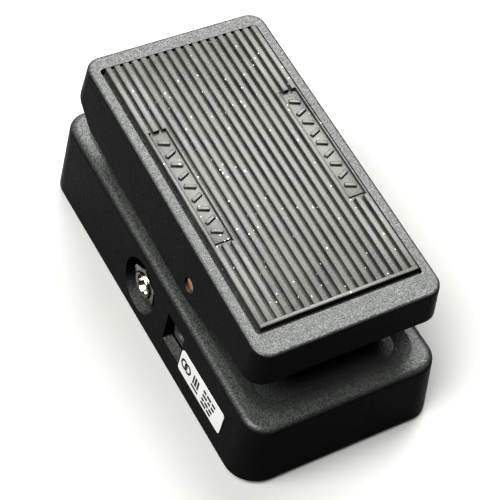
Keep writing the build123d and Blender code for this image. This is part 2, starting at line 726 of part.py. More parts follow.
def contact_block(side, way, grow=0.0):
    """A leaf spring beside the bore with its leg up to the board."""
    inner = jack_floor_x - jack_panel
    x0 = side * (inner - 17.0 + 3.0 * way - grow)
    x1 = side * (inner - 9.0 + 3.0 * way + grow)
    y0 = jack_y + way * (jack_bore / 2 + 0.35 - grow)
    y1 = jack_y + way * (jack_bore / 2 + 0.85 + grow)
    leaf = brick(*sorted((x0, x1)), *sorted((y0, y1)), jack_z - 2 - grow, jack_z + 2 + grow)
    xm = (x0 + x1) / 2
    leaf += brick(xm - 0.7 - grow, xm + 0.7 + grow, *sorted((y0, y1)), jack_z, jack_z + jack_body[2] / 2)
    return leaf


def jack_contacts(side):
    return [contact_block(side, way) for way in (-1, 1)]


def jack_washer(side):
    ring = rod_x(side * jack_floor_x, side * (jack_floor_x + 0.7), jack_y, jack_z, 15.0)
    return ring - rod_x(side * (jack_floor_x - 2), side * (jack_floor_x + 2), jack_y, jack_z,
                        jack_bushing_diameter + 2 * fit_gap)


def jack_nut(side):
    x0, x1 = sorted((side * (jack_floor_x + 0.7), side * (jack_floor_x + 2.9)))
    nut = hex_nut(x0, x1, jack_y, jack_z, jack_nut_flats, jack_bushing_diameter)
    return nut & chamfer(rod_x(x0, x1, jack_y, jack_z, 14.2).edges(), 0.5)


def power_inlet():
    length, width, height = inlet_body
    board_low = board_top - board_thickness
    body = brick(-inlet_face_x, -inlet_face_x + length, inlet_y - width / 2, inlet_y + width / 2,
                 board_low - height, board_low)
    body = chamfer(body.edges().filter_by(Axis.X), 0.4)
    bore_z = board_low - height / 2
    body -= rod_x(-inlet_face_x - 1, -inlet_face_x + inlet_bore_depth, inlet_y, bore_z, inlet_bore)
    return body


def inlet_contact_pin():
    bore_z = board_top - board_thickness - inlet_body[2] / 2
    back = -inlet_face_x + inlet_bore_depth
    pin = rod_x(back - inlet_pin_length, back, inlet_y, bore_z, inlet_pin)
    return fillet(pin.edges().filter_by(GeomType.CIRCLE).sort_by(Axis.X)[0], 0.6)


def circuit_board():
    half = board_width / 2
    z0, z1 = board_top - board_thickness, board_top
    board = brick(-half, half, board_heel, board_toe, z0, z1)
    board += brick(-half, -half + board_tongue_width, board_tongue_heel, board_heel, z0, z1)
    board -= brick(quadrant_x - board_notch[0] / 2, quadrant_x + board_notch[0] / 2,
                   board_heel - 1, board_heel + board_notch[1], z0 - 1, z1 + 1)
    for x, y in board_boss_spots:
        board -= rod_z(x, y, z0 - 1, z1 + 1, 2.9)
    return board


def board_screws():
    return [pan_screw(x, y, board_top - board_thickness, 2.5, 6.4, 4.6) for x, y in board_boss_spots]


def board_components():
    """Two electrolytic capacitors, an amplifier chip, two film capacitors and a row of small resistors."""
    z = board_top
    parts = [rod_z(x, 20.0, z, z + 7.0, 6.3) for x in (-9.0, 9.0)]
    parts.append(brick(-3.2, 3.2, -2.0, 7.0, z, z + 2.2))
    parts += [brick(x - 3.6, x + 3.6, 8.5, 11.5, z, z + 5.5) for x in (-14.0, 14.0)]
    parts += [brick(x - 1.0, x + 1.0, 27.0, 28.4, z, z + 0.6) for x in (-12, -8, -4, 0, 4, 8, 12)]
    return parts


def pot_leads():
    """Three insulated wires from the potentiometer's terminals up to the board's heel edge."""
    wires = []
    x = pot_face_x + 1.5
    start_y = pivot_y + pot_body_diameter / 2 + 5.6
    up_y = start_y + 2.1
    for step, away in ((-5, 4.4), (0, 2.2), (5, 0.0)):
        z = pot_z + step
        points = [(x, start_y, z), (x, up_y, z), (x - away, up_y, board_top - board_thickness)]
        if away:
            points.insert(2, (x - away, up_y, z + away))
        spine = FilletPolyline(*points, radius=0.8)
        wires.append(sweep(Plane(origin=spine @ 0, z_dir=spine % 0) * Circle(0.5), path=spine))
    return wires


def rating_label():
    x = wall_x(label_z)
    blank = extrude(RectangleRounded(label_length, label_height, 1.2), label_thickness)
    stand = Pos(-x, label_y, label_z) * Rot(0, lean, 0) * Rot(0, -90, 0) * Rot(0, 0, 90)
    return stand * Pos(0, 0, 0.02) * blank


# ---- write one file per sub-part ----
def solids_of(shape):
    """The closed solids in a shape or a list of shapes."""
    shapes = shape if isinstance(shape, (list, tuple)) else [shape]
    return [solid for item in shapes for solid in item.solids()]


rocking = {
    "treadle": treadle,
    "tread_pad": tread_pad,
    "pivot_shaft": pivot_shaft,
    "pivot_grub_screws": grub_screws,
    "drive_quadrant": drive_quadrant,
    "quadrant_screws": quadrant_screws,
    "drive_band": drive_band,
    "band_end_clamps": band_clamps,
}
standing = {
    "base_housing": base_housing,
    "bottom_plate": bottom_plate,
    "rubber_feet": feet,
    "plate_screws": lambda: [countersunk_screw(x, y) for x, y in plate_screw_spots],
    "pivot_bushes": pivot_bushes,
    "tension_shoe": tension_shoe,
    "tension_screw": tension_screw,
    "toe_bumper": lambda: bumper(bumper_y(toe_stop, rest_tilt - toe_travel)),
    "heel_bumper": lambda: bumper(bumper_y(heel_stop, rest_tilt + heel_travel)),
    "band_drum": band_drum,
    "band_loop": band_loop,
    "pot_shaft": pot_shaft,
    "potentiometer": potentiometer,
    "pot_terminals": pot_terminals,
    "pot_nut": pot_nut,
    "pot_washer": pot_washer,
    "pot_bracket": pot_bracket,
    "bracket_screws": bracket_screws,
    "pot_leads": pot_leads,
    "output_jack_body": lambda: jack_shell(-1),
    "output_jack_bushing": lambda: jack_bushing(-1),
    "output_jack_contacts": lambda: jack_contacts(-1),
    "output_jack_washer": lambda: jack_washer(-1),
    "output_jack_nut": lambda: jack_nut(-1),
    "input_jack_body": lambda: jack_shell(1),
    "input_jack_bushing": lambda: jack_bushing(1),
    "input_jack_contacts": lambda: jack_contacts(1),
    "input_jack_washer": lambda: jack_washer(1),
    "input_jack_nut": lambda: jack_nut(1),
    "power_inlet": power_inlet,
    "power_inlet_pin": inlet_contact_pin,
    "circuit_board": circuit_board,
    "board_screws": board_screws,
    "board_components": board_components,
    "rating_label": rating_label,
}

os.makedirs("parts", exist_ok=True)
for name, make in [*rocking.items(), *standing.items()]:
    shapes = solids_of(make())
    if name in rocking:
        shapes = [rocker * solid for solid in shapes]
    export_step(Compound(children=shapes), f"parts/{name}.step")
print("pot axis height", round(pot_z, 2), "band ratio",
      round((quadrant_radius + band_thickness / 2) / (drum_radius + band_thickness / 2), 4))
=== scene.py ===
import json
import math

import bmesh
import bpy
from mathutils import Matrix, Vector


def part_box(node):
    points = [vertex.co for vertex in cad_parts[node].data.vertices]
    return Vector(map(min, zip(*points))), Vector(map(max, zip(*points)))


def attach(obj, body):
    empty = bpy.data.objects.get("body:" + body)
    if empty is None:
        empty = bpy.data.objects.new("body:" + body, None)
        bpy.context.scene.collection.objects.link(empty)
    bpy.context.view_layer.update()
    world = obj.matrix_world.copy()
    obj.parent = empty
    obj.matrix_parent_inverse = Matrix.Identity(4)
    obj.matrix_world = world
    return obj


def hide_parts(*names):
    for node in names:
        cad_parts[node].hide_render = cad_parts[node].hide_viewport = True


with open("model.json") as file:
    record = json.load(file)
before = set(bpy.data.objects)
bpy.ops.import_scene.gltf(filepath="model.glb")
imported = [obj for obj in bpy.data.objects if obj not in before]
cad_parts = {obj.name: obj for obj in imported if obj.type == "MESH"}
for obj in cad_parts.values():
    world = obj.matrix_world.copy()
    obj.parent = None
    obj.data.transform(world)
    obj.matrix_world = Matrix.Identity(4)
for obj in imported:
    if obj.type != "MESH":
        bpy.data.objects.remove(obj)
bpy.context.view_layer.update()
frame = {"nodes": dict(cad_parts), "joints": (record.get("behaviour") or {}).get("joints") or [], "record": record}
print("frame loaded")

mm = 0.001  # the settings below are in millimetres; the frame is in metres


# an sRGB hex colour as linear red, green, blue and alpha
def toLinear(code):
    parts = [int(code[i:i + 2], 16) / 255 for i in (1, 3, 5)]
    return [c / 12.92 if c <= 0.04045 else ((c + 0.055) / 1.055) ** 2.4 for c in parts] + [1.0]


# settings name a property or an input; links feed the inputs, feeds carry the outputs on
def addNode(tree, kind, place, settings=None, links=None, feeds=None):
    node = tree.nodes.new("ShaderNode" + kind)
    node.location = place
    for name, value in (settings or {}).items():
        if isinstance(name, str) and hasattr(node, name):
            setattr(node, name, value)
        else:
            node.inputs[name].default_value = value
    for name, source in (links or {}).items():
        tree.links.new(source, node.inputs[name])
    for name, target in (feeds or {}).items():
        tree.links.new(node.outputs[name], target)
    return node


# a material whose shader is set plain, with its node tree, the shader and object coordinates to build on
def newMaterial(name, colour, metallic, roughness, specular):
    material = bpy.data.materials.new(name)
    material.use_nodes = True
    tree = material.node_tree
    shader = tree.nodes["Principled BSDF"]
    shader.inputs["Base Color"].default_value = toLinear(colour)
    shader.inputs["Metallic"].default_value = metallic
    shader.inputs["Roughness"].default_value = roughness
    shader.inputs["Specular IOR Level"].default_value = specular
    material.diffuse_color = toLinear(colour)
    coords = addNode(tree, "TexCoord", (-1200, 0))
    return material, tree, shader, coords.outputs["Object"]


noiseCore = (0.3, 0.7)  # most of what a noise gives lies between these

# the coat's grey for upward faces and its facing, grit and least settings are painted top light: faces looking up are
# painted lighter, as if lit from above
coat = {"black": "#080808", "worn": "#0b0b0b", "dustAndPaintedTopLight": "#212221", "speck": "#1e1e1d", "roughness": (0.26, 0.40),
        "specular": 0.04, "pebble": 1.1, "grit": 0.5, "cloud": 22.0, "pebbleDepth": 0.13, "gritDepth": 0.1,
        "speckSpacing": 1.9, "speckSize": 0.11, "speckRarity": 0.62, "paintedTopLightFacing": (0.4, 0.97),
        "paintedTopLightGrit": (0.35, 0.62), "paintedTopLightLeast": 0.35}


# sprayed textured powder coat on die-cast aluminium: black, satin and pebbled, with painted top light greying whatever
# faces up, broken up by grit
def powderCoat():
    material, tree, shader, coords = newMaterial("texturedPowderCoat", coat["black"], 0.0, 0.45, coat["specular"])
    pebble = addNode(tree, "TexNoise", (-900, 200),
                     {"Scale": 1 / (coat["pebble"] * mm), "Detail": 3.0, "Roughness": 0.55},
                     {"Vector": coords}).outputs["Fac"]
    grit = addNode(tree, "TexNoise", (-900, -100), {"Scale": 1 / (coat["grit"] * mm), "Roughness": 0.55},
                   {"Vector": coords}).outputs["Fac"]
    cloud = addNode(tree, "TexNoise", (-900, 500), {"Scale": 1 / (coat["cloud"] * mm)},
                    {"Vector": coords}).outputs["Fac"]
    paint = addNode(tree, "Mix", (-500, 500),
                    {"data_type": "RGBA", 6: toLinear(coat["black"]), 7: toLinear(coat["worn"])},
                    {"Factor": cloud}).outputs[2]
    # painted top light: the more a face looks up, the more it is painted grey, broken up by the grit noise
    facing = addNode(tree, "NewGeometry", (-1200, 800))
    upward = addNode(tree, "SeparateXYZ", (-1000, 800), None, {"Vector": facing.outputs["Normal"]})
    upFacingLit = addNode(tree, "MapRange", (-800, 800), {"From Min": coat["paintedTopLightFacing"][0],
                                                     "From Max": coat["paintedTopLightFacing"][1]},
                      {"Value": upward.outputs["Z"]}).outputs["Result"]
    topLightBreakup = addNode(tree, "MapRange", (-800, 1050),
                     {"From Min": coat["paintedTopLightGrit"][0], "From Max": coat["paintedTopLightGrit"][1], "To Min": coat["paintedTopLightLeast"]},
                     {"Value": grit}).outputs["Result"]
    dustAndPaintedTopLight = addNode(tree, "Math", (-600, 800), {"operation": "MULTIPLY"},
                   {0: upFacingLit, 1: topLightBreakup}).outputs["Value"]
    topLitCoat = addNode(tree, "Mix", (-300, 600), {"data_type": "RGBA", 7: toLinear(coat["dustAndPaintedTopLight"])},
                    {"Factor": dustAndPaintedTopLight, 6: paint}).outputs[2]
    cells = addNode(tree, "TexVoronoi", (-900, 1300), {"Scale": 1 / (coat["speckSpacing"] * mm)},
                    {"Vector": coords})
    near = addNode(tree, "Math", (-700, 1300), {"operation": "LESS_THAN", 1: coat["speckSize"]},
                   {0: cells.outputs["Distance"]})
    rare = addNode(tree, "Math", (-700, 1450), {"operation": "GREATER_THAN", 1: coat["speckRarity"]},
                   {0: cells.outputs["Color"]})
    speck = addNode(tree, "Math", (-500, 1300), {"operation": "MULTIPLY"},
                    {0: near.outputs["Value"], 1: rare.outputs["Value"]}).outputs["Value"]
    addNode(tree, "Mix", (-100, 600), {"data_type": "RGBA", 7: toLinear(coat["speck"])},
            {"Factor": speck, 6: topLitCoat}, {2: shader.inputs["Base Color"]})
    addNode(tree, "MapRange", (-500, 250),
            {"From Min": noiseCore[0], "From Max": noiseCore[1], "To Min": coat["roughness"][0],
             "To Max": coat["roughness"][1]}, {"Value": pebble}, {"Result": shader.inputs["Roughness"]})
    under = addNode(tree, "Bump", (-450, -50), {"Distance": coat["pebbleDepth"] * mm}, {"Height": pebble})
    addNode(tree, "Bump", (-250, -200), {"Distance": coat["gritDepth"] * mm},
            {"Height": grit, "Normal": under.outputs["Normal"]}, {"Normal": shader.inputs["Normal"]})
    return material


rubber = {"black": "#171716", "grey": "#21211f", "dustAndPaintedTopLight": "#949085", "roughness": (0.34, 0.46), "specular": 0.07,
          "grain": 0.6, "grainDepth": 0.05, "scuff": 9.0, "scuffSpan": (0.35, 0.7), "speckSpacing": 1.6,
          "speckSize": 0.1, "speckRarity": 0.66}


# moulded rubber matting: near black, greyed by shoe soles, with a fine moulded grain and a few specks of grit
def treadRubber():
    material, tree, shader, coords = newMaterial("mouldedTreadRubber", rubber["black"], 0.0, 0.45,
                                                 rubber["specular"])
    grain = addNode(tree, "TexNoise", (-900, -100), {"Scale": 1 / (rubber["grain"] * mm), "Detail": 3.0},
                    {"Vector": coords}).outputs["Fac"]
    scuff = addNode(tree, "TexNoise", (-900, 300), {"Scale": 1 / (rubber["scuff"] * mm), "Detail": 4.0},
                    {"Vector": coords}).outputs["Fac"]
    worn = addNode(tree, "MapRange", (-700, 400),
                   {"From Min": rubber["scuffSpan"][0], "From Max": rubber["scuffSpan"][1]}, {"Value": scuff})
    tint = addNode(tree, "Mix", (-500, 400),
                   {"data_type": "RGBA", 6: toLinear(rubber["black"]), 7: toLinear(rubber["grey"])},
                   {"Factor": worn.outputs["Result"]}).outputs[2]
    cells = addNode(tree, "TexVoronoi", (-900, 700), {"Scale": 1 / (rubber["speckSpacing"] * mm)},
                    {"Vector": coords})
    near = addNode(tree, "Math", (-700, 700), {"operation": "LESS_THAN", 1: rubber["speckSize"]},
                   {0: cells.outputs["Distance"]})
    rare = addNode(tree, "Math", (-700, 850), {"operation": "GREATER_THAN", 1: rubber["speckRarity"]},
                   {0: cells.outputs["Color"]})
    speck = addNode(tree, "Math", (-500, 700), {"operation": "MULTIPLY"},
                    {0: near.outputs["Value"], 1: rare.outputs["Value"]}).outputs["Value"]
    addNode(tree, "Mix", (-250, 400), {"data_type": "RGBA", 7: toLinear(rubber["dustAndPaintedTopLight"])},
            {"Factor": speck, 6: tint}, {2: shader.inputs["Base Color"]})
    addNode(tree, "MapRange", (-300, 200),
            {"From Min": noiseCore[0], "From Max": noiseCore[1], "To Min": rubber["roughness"][0],
             "To Max": rubber["roughness"][1]}, {"Value": scuff}, {"Result": shader.inputs["Roughness"]})
    addNode(tree, "Bump", (-300, -150), {"Distance": rubber["grainDepth"] * mm}, {"Height": grain},
            {"Normal": shader.inputs["Normal"]})
    return material


plain = {"cloud": 6.0, "cloudSpan": (0.3, 0.75), "smoother": 0.06, "rougher": 0.08, "smoothest": 0.02}


# a plain finish: a slow change from colour to vary across it, and a fine grain of the given size and depth
def plainFinish(name, colour, metallic, roughness, specular, grain, depth, vary):
    material, tree, shader, coords = newMaterial(name, colour, metallic, roughness, specular)
    fine = addNode(tree, "TexNoise", (-900, -100), {"Scale": 1 / (grain * mm)}, {"Vector": coords}).outputs["Fac"]
    slow = addNode(tree, "TexNoise", (-900, 300), {"Scale": 1 / (plain["cloud"] * mm)},
                   {"Vector": coords}).outputs["Fac"]
    cloud = addNode(tree, "MapRange", (-700, 400),
                    {"From Min": plain["cloudSpan"][0], "From Max": plain["cloudSpan"][1]}, {"Value": slow})
    addNode(tree, "Mix", (-500, 400), {"data_type": "RGBA", 6: toLinear(colour), 7: toLinear(vary)},
            {"Factor": cloud.outputs["Result"]}, {2: shader.inputs["Base Color"]})
    addNode(tree, "MapRange", (-500, 200),
            {"From Min": noiseCore[0], "From Max": noiseCore[1],
             "To Min": max(roughness - plain["smoother"], plain["smoothest"]), "To Max": roughness + plain["rougher"]},
            {"Value": slow}, {"Result": shader.inputs["Roughness"]})
    addNode(tree, "Bump", (-300, -150), {"Distance": depth * mm}, {"Height": fine},
            {"Normal": shader.inputs["Normal"]})
    return material


finishes = {
    "black_powder_coat": powderCoat(),
    "tread_rubber": treadRubber(),
    # satin paint on rolled steel sheet: flat black with a slight sheen
    "black_steel_plate": plainFinish("satinPaintedSteel", "#161616", 0.0, 0.42, 0.5, 0.8, 0.02, "#1d1c1b"),
    # moulded soft rubber: matt, no sparkle
    "foot_rubber": plainFinish("mattMouldedRubber", "#0b0b0b", 0.0, 0.85, 0.08, 0.5, 0.03, "#101010"),
    # zinc plated steel: pale grey metal with a soft bluish shine
    "zinc_screw": plainFinish("zincPlatedSteel", "#b9bbbd", 1.0, 0.32, 0.5, 0.3, 0.006, "#a4a6a8"),
    # black oxide on alloy steel: dark oily metal
    "black_oxide_screw": plainFinish("blackOxideSteel", "#2a2a2d", 1.0, 0.38, 0.5, 0.3, 0.006, "#1e1e20"),
    # sintered bronze soaked in oil: dull brown metal with pores
    "bronze_bush": plainFinish("sinteredBronze", "#9a6a35", 1.0, 0.45, 0.5, 0.25, 0.02, "#7d5429"),
    # turned brass left bare: warm metal, a little tarnished
    "brass_shaft": plainFinish("turnedBrass", "#c79b78", 1.0, 0.3, 0.5, 0.4, 0.008, "#8f6a4c"),
    # natural nylon, machined: milky white with a waxy shine
    "white_nylon": plainFinish("naturalNylon", "#d9d6cc", 0.0, 0.4, 0.5, 0.6, 0.01, "#cfcabd"),
    # glass-filled nylon, moulded: black with a faint mottle
    "quadrant_nylon": plainFinish("glassFilledNylon", "#1d1d1d", 0.0, 0.55, 0.45, 0.4, 0.02, "#2a2a2a"),
    # rolled spring steel strip: bright grey metal
    "band_steel": plainFinish("rolledSpringSteel", "#a3a5a8", 1.0, 0.25, 0.5, 0.3, 0.004, "#8b8d90"),
    # bright nickel over turned brass: mirror metal with a faint warm cast
    "nickel_plate": plainFinish("brightNickel", "#a39f98", 1.0, 0.16, 0.5, 0.9, 0.05, "#65625c"),
    # pressed and plated steel case of the potentiometer
    "pot_case": plainFinish("pressedPlatedSteel", "#a9abad", 1.0, 0.33, 0.5, 0.5, 0.008, "#949699"),
    # tin over brass: pale soft metal
    "tinned_terminal": plainFinish("tinnedBrass", "#c3c3c1", 1.0, 0.35, 0.5, 0.3, 0.006, "#acaca9"),
    # zinc plated steel sheet
    "bracket_steel": plainFinish("platedSteelSheet", "#a2a4a6", 1.0, 0.36, 0.5, 0.6, 0.008, "#8e9093"),
    # soft vinyl wire insulation
    "lead_insulation": plainFinish("vinylInsulation", "#a3231c", 0.0, 0.4, 0.5, 0.5, 0.008, "#8e1d17"),
    # moulded black nylon: satin black
    "jack_plastic": plainFinish("mouldedBlackNylon", "#161617", 0.0, 0.45, 0.45, 0.4, 0.015, "#1f1f20"),
    # solder mask over glass-fibre laminate: deep green under a gloss
    "board_laminate": plainFinish("solderMaskLaminate", "#14512c", 0.0, 0.25, 0.5, 0.6, 0.01, "#1b6236"),
    # moulded epoxy component bodies
    "component_black": plainFinish("mouldedEpoxy", "#1c1c1e", 0.0, 0.5, 0.45, 0.3, 0.01, "#262629"),
    # printed polyester film with a satin overcoat
    "label_white": plainFinish("printedPolyesterFilm", "#545453", 0.0, 0.42, 0.12, 0.6, 0.004, "#4f4f4e"),
}
ink = plainFinish("screenPrintInk", "#101010", 0.0, 0.5, 0.2, 0.4, 0.004, "#161616")  # flat dark print on the film

slotOf = {entry["node"]: entry["material_slot"] for entry in frame["record"]["subparts"]}
for node, piece in frame["nodes"].items():
    for number in range(len(piece.material_slots)):
        piece.material_slots[number].material = finishes[slotOf[node]]
print("materials on", len(frame["nodes"]), "frame pieces")


# the finished mesh as a piece on its body, standing for the nodes it replaces
def finishPiece(name, shape, materials, body, replaced, smoothAngle=32.0):
    mesh = bpy.data.meshes.new(name)
    shape.to_mesh(mesh)
    shape.free()
    for material in materials:
        mesh.materials.append(material)
    piece = bpy.data.objects.new(name, mesh)
    bpy.context.scene.collection.objects.link(piece)
    mesh.shade_smooth()
    mesh.set_sharp_from_angle(angle=math.radians(smoothAngle))
    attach(piece, body)
    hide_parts(*replaced)


# a closed block between (low, high) limits, in metres, its edges rounded by softening; turned about its middle
def addBlock(shape, x, y, z, softening=0.0, segments=1, turn=None, material=0):
    made = bmesh.ops.create_cube(shape, size=1.0)["verts"]
    centre = Vector(((x[0] + x[1]) / 2, (y[0] + y[1]) / 2, (z[0] + z[1]) / 2))
    bmesh.ops.scale(shape, verts=made, vec=(x[1] - x[0], y[1] - y[0], z[1] - z[0]))
    if softening:
        edges = {e for v in made for e in v.link_edges}
        grown = bmesh.ops.bevel(shape, geom=list(edges), offset=softening, segments=segments, profile=0.5,
                                affect="EDGES", material=-1)
        made = list({v for f in grown["faces"] for v in f.verts} | {v for v in made if v.is_valid})
    if turn:
        bmesh.ops.rotate(shape, verts=made, cent=(0, 0, 0), matrix=turn)
    bmesh.ops.translate(shape, verts=made, vec=centre)
    for face in {f for v in made for f in v.link_faces}:
        face.material_index = material
    return made


# turns a closed profile of (along the axis, radius) points, in metres, about an axis along X
def spinRing(shape, profile, origin, axis, steps):
    verts = [shape.verts.new((origin.x + along * axis, origin.y, origin.z + radius)) for along, radius in profile]
    edges = [shape.edges.new((verts[i], verts[(i + 1) % len(verts)])) for i in range(len(verts))]
    bmesh.ops.spin(shape, geom=verts + edges, cent=origin, axis=(1, 0, 0), angle=math.tau, steps=steps,
                   use_merge=True)


def sealAndTurnOut(shape):
    bmesh.ops.remove_doubles(shape, verts=shape.verts, dist=1e-6)
    bmesh.ops.recalc_face_normals(shape, faces=shape.faces)


# the pad is laid out level about the pivot, then leaned back with the treadle
restTilt = 3.9
pivot = Vector(next(j for j in frame["joints"] if j["name"] == "treadle_pivot")["pos_m"])
rockerPlace = Matrix.Translation(pivot) @ Matrix.Rotation(math.radians(restTilt), 4, "X")

pad = {"low": 11.3, "slab": 1.3, "slabSoft": 0.3, "rib": 1.1, "soft": 0.24, "softSteps": 3, "sunk": 0.3,
       "left": -25.5, "right": 26.9, "heel": -27.8, "toe": 73.2, "heelBar": 1.4, "heelBarSunk": 0.4,
       "firstGroove": -23.14, "pitch": 2.98, "groove": 1.0, "grooves": 17, "thinnest": 0.3, "thinSoft": 0.3}
badges = {"middles": (-21.5, 23.4), "width": 5.6, "heel": 1.6, "toe": 45.4, "tuck": 0.5, "trench": 0.9,
          "floor": 0.45, "floorSunk": 0.2, "floorSoft": 0.15, "marks": 9, "mark": (3.7, 1.3), "markSoft": 0.2,
          "margin": 2.5, "slant": 24.0}


def padBlock(shape, x, y, z, soft, turn=None):
    addBlock(shape, *[(low * mm, high * mm) for low, high in (x, y, z)], soft * mm, pad["softSteps"], turn)


# a slab with ribs from heel to toe, cut short where the two plaques of slanted bars lie
def buildPad():
    shape = bmesh.new()
    slabTop = pad["low"] + pad["slab"]
    ribTop = slabTop + pad["rib"]
    ribSpan = (slabTop - pad["sunk"], ribTop)
    start = pad["heel"] + pad["heelBar"] - pad["sunk"]
    padBlock(shape, (pad["left"], pad["right"]), (pad["heel"], pad["toe"]), (pad["low"], slabTop), pad["slabSoft"])
    padBlock(shape, (pad["left"], pad["right"]), (pad["heel"], pad["heel"] + pad["heelBar"]),
             (slabTop - pad["heelBarSunk"], ribTop), pad["soft"])
    half = badges["width"] / 2
    windows = [(middle - half, middle + half) for middle in badges["middles"]]
    edges = [pad["left"]]
    for number in range(pad["grooves"]):
        middle = pad["firstGroove"] + number * pad["pitch"]
        edges += [middle - pad["groove"] / 2, middle + pad["groove"] / 2]
    edges.append(pad["right"])
    for low, high in zip(edges[::2], edges[1::2]):
        crossed = [w for w in windows if w[0] < high and w[1] > low]
        if not crossed:
            padBlock(shape, (low, high), (start, pad["toe"]), ribSpan, pad["soft"])
            continue
        padBlock(shape, (low, high), (start, badges["heel"]), ribSpan, pad["soft"])
        padBlock(shape, (low, high), (badges["toe"], pad["toe"]), ribSpan, pad["soft"])
        for left, right in ((low, crossed[0][0]), (crossed[0][1], high)):
            if right - left > pad["thinnest"]:  # what the plaque leaves of this rib
                padBlock(shape, (left, right), (badges["heel"] - badges["tuck"], badges["toe"] + badges["tuck"]),
                         ribSpan, min(pad["soft"], (right - left) * pad["thinSoft"]))
    length = badges["toe"] - badges["heel"] - 2 * badges["margin"]
    step = length / badges["marks"]
    halfX, halfY = badges["mark"][0] / 2, badges["mark"][1] / 2
    for middle in badges["middles"]:
        padBlock(shape, (middle - half, middle + half),
                 (badges["heel"] + badges["trench"], badges["toe"] - badges["trench"]),
                 (slabTop - badges["floorSunk"], slabTop + badges["floor"]), badges["floorSoft"])
        for number in range(badges["marks"]):
            y = badges["heel"] + badges["margin"] + step * (number + 0.5)
            turn = Matrix.Rotation(math.radians(badges["slant"] * (1 if number % 2 else -1)), 3, "Z")
            padBlock(shape, (middle - halfX, middle + halfX), (y - halfY, y + halfY), (slabTop, ribTop),
                     badges["markSoft"], turn)
    bmesh.ops.transform(shape, matrix=rockerPlace, verts=shape.verts)
    finishPiece("ribbedTreadPad", shape, [finishes["tread_rubber"]], "rocker", ["tread_pad"], 40.0)


buildPad()
print("tread pad built")


socket = {"bore": 3.25, "sleeve": 4.7, "collar": 6.0, "collarLength": 1.6, "pitch": 0.8, "threadDepth": 0.26,
          "threadStart": 0.2, "threadEnd": 1.0, "mouth": 0.5, "mouthBulge": 0.55, "mouthSetback": 0.15,
          "lip": ((0.6, 0.0), (0.2, 0.05), (0.0, 0.25)),  # behind the front face, below the thread's root
          "flats": 12.7, "cornerCone": 6.75, "coneSlope": 0.6, "faceStep": 0.02, "nutGap": 0.02, "steps": 72}


# a shoulder inside the wall, then a thread, then a rounded mouth
def buildSleeve(name, node, axis):
    low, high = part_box(node)
    shape = bmesh.new()
    back = low.x if axis > 0 else -high.x
    bore, outer = socket["bore"] * mm, socket["sleeve"] * mm
    root = outer - socket["threadDepth"] * mm
    shoulder = back + socket["collarLength"] * mm
    front = back + high.x - low.x
    profile = [(back, bore), (back, socket["collar"] * mm), (shoulder, socket["collar"] * mm), (shoulder, root)]
    along = shoulder + socket["threadStart"] * mm
    while along < front - socket["threadEnd"] * mm:
        quarter = socket["pitch"] * mm / 4
        profile += [(along, root), (along + quarter, outer), (along + 2 * quarter, outer), (along + 3 * quarter, root)]
        along += socket["pitch"] * mm
    mouth = socket["mouth"] * mm
    profile += [(front - behind * mm, root - below * mm) for behind, below in socket["lip"]]
    profile += [(front, bore + mouth), (front - socket["mouthSetback"] * mm, bore + mouth * socket["mouthBulge"]),
                (front - mouth, bore)]
    centre = (low + high) / 2
    spinRing(shape, profile, Vector((0, centre.y, centre.z)), axis, socket["steps"])
    sealAndTurnOut(shape)
    finishPiece(name, shape, [finishes["nickel_plate"]], "base", [node], 40.0)


# a loop of points about an axis along X, its radius and its set-back given by the angle
def nutLoop(shape, x, centre, radiusAt, sink=None):
    made = bmesh.ops.create_circle(shape, segments=socket["steps"], radius=1.0)["verts"]
    for vert in made:
        angle = math.atan2(vert.co.y, vert.co.x)
        radius = radiusAt(angle)
        vert.co = Vector((x + (sink(radius) if sink else 0.0), centre.y + radius * math.cos(angle),
                          centre.z + radius * math.sin(angle)))
    return list({e for v in made for e in v.link_edges})


# six flats with their corners turned off on a shallow cone at both faces
def buildNut(name, node):
    low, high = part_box(node)
    centre = (low + high) / 2
    apothem = socket["flats"] / 2 * mm
    cone = socket["cornerCone"] * mm
    bore = (socket["sleeve"] + socket["nutGap"]) * mm

    def hexRadius(angle):
        turned = (angle + math.pi / 6) % (math.pi / 3) - math.pi / 6
        return apothem / math.cos(turned)

    def coneSink(radius, way):
        return way * (max(radius - cone, 0.0) * socket["coneSlope"] + socket["faceStep"] * mm)

    shape = bmesh.new()
    ring = []
    for x, way in ((low.x, 1), (high.x, -1)):
        face = [nutLoop(shape, x, centre, lambda a: bore),
                nutLoop(shape, x, centre, lambda a: min(hexRadius(a), cone)),
                nutLoop(shape, x, centre, hexRadius, lambda r: coneSink(r, way))]
        ring += face[::way]
    for first, second in zip(ring, ring[1:] + ring[:1]):
        bmesh.ops.bridge_loops(shape, edges=first + second)
    sealAndTurnOut(shape)
    finishPiece(name, shape, [finishes["nickel_plate"]], "base", [node], 25.0)


for side, axis in (("output", -1), ("input", 1)):
    buildSleeve(side + "ThreadedSleeve", side + "_jack_bushing", axis)
    buildNut(side + "HexNut", side + "_jack_nut")
print("socket hardware built")


film = {"length": 26.6, "height": 9.0, "thickness": 0.25, "corner": 1.2, "middle": (-38.3, 13.4), "clear": 0.02,
        "wallDraft": 3.2, "wallHeight": 27.6, "wallFoot": 35.0, "wallStart": 2.0}
marks = {"rise": 0.03, "rings": (-10.5, -8.3), "ringLevel": 0.3, "ringOuter": 1.9, "ringInner": 1.15, "ringSteps": 40,
         "bars": ((-4.4, 0.4, 0.7, 3.6), (-3.1, 0.4, 1.0, 3.6), (-1.7, 0.4, 0.8, 3.6), (-3.0, -2.6, 4.2, 0.8)),
         "rowStart": 1.4, "rowGap": 0.6, "rowHeight": 0.95,
         "rows": ((2.2, (1.6, 2.4, 2.0)), (0.4, (2.6, 1.4, 1.8)), (-1.4, (1.3, 2.0, 1.9)), (-3.0, (3.0, 2.4)))}


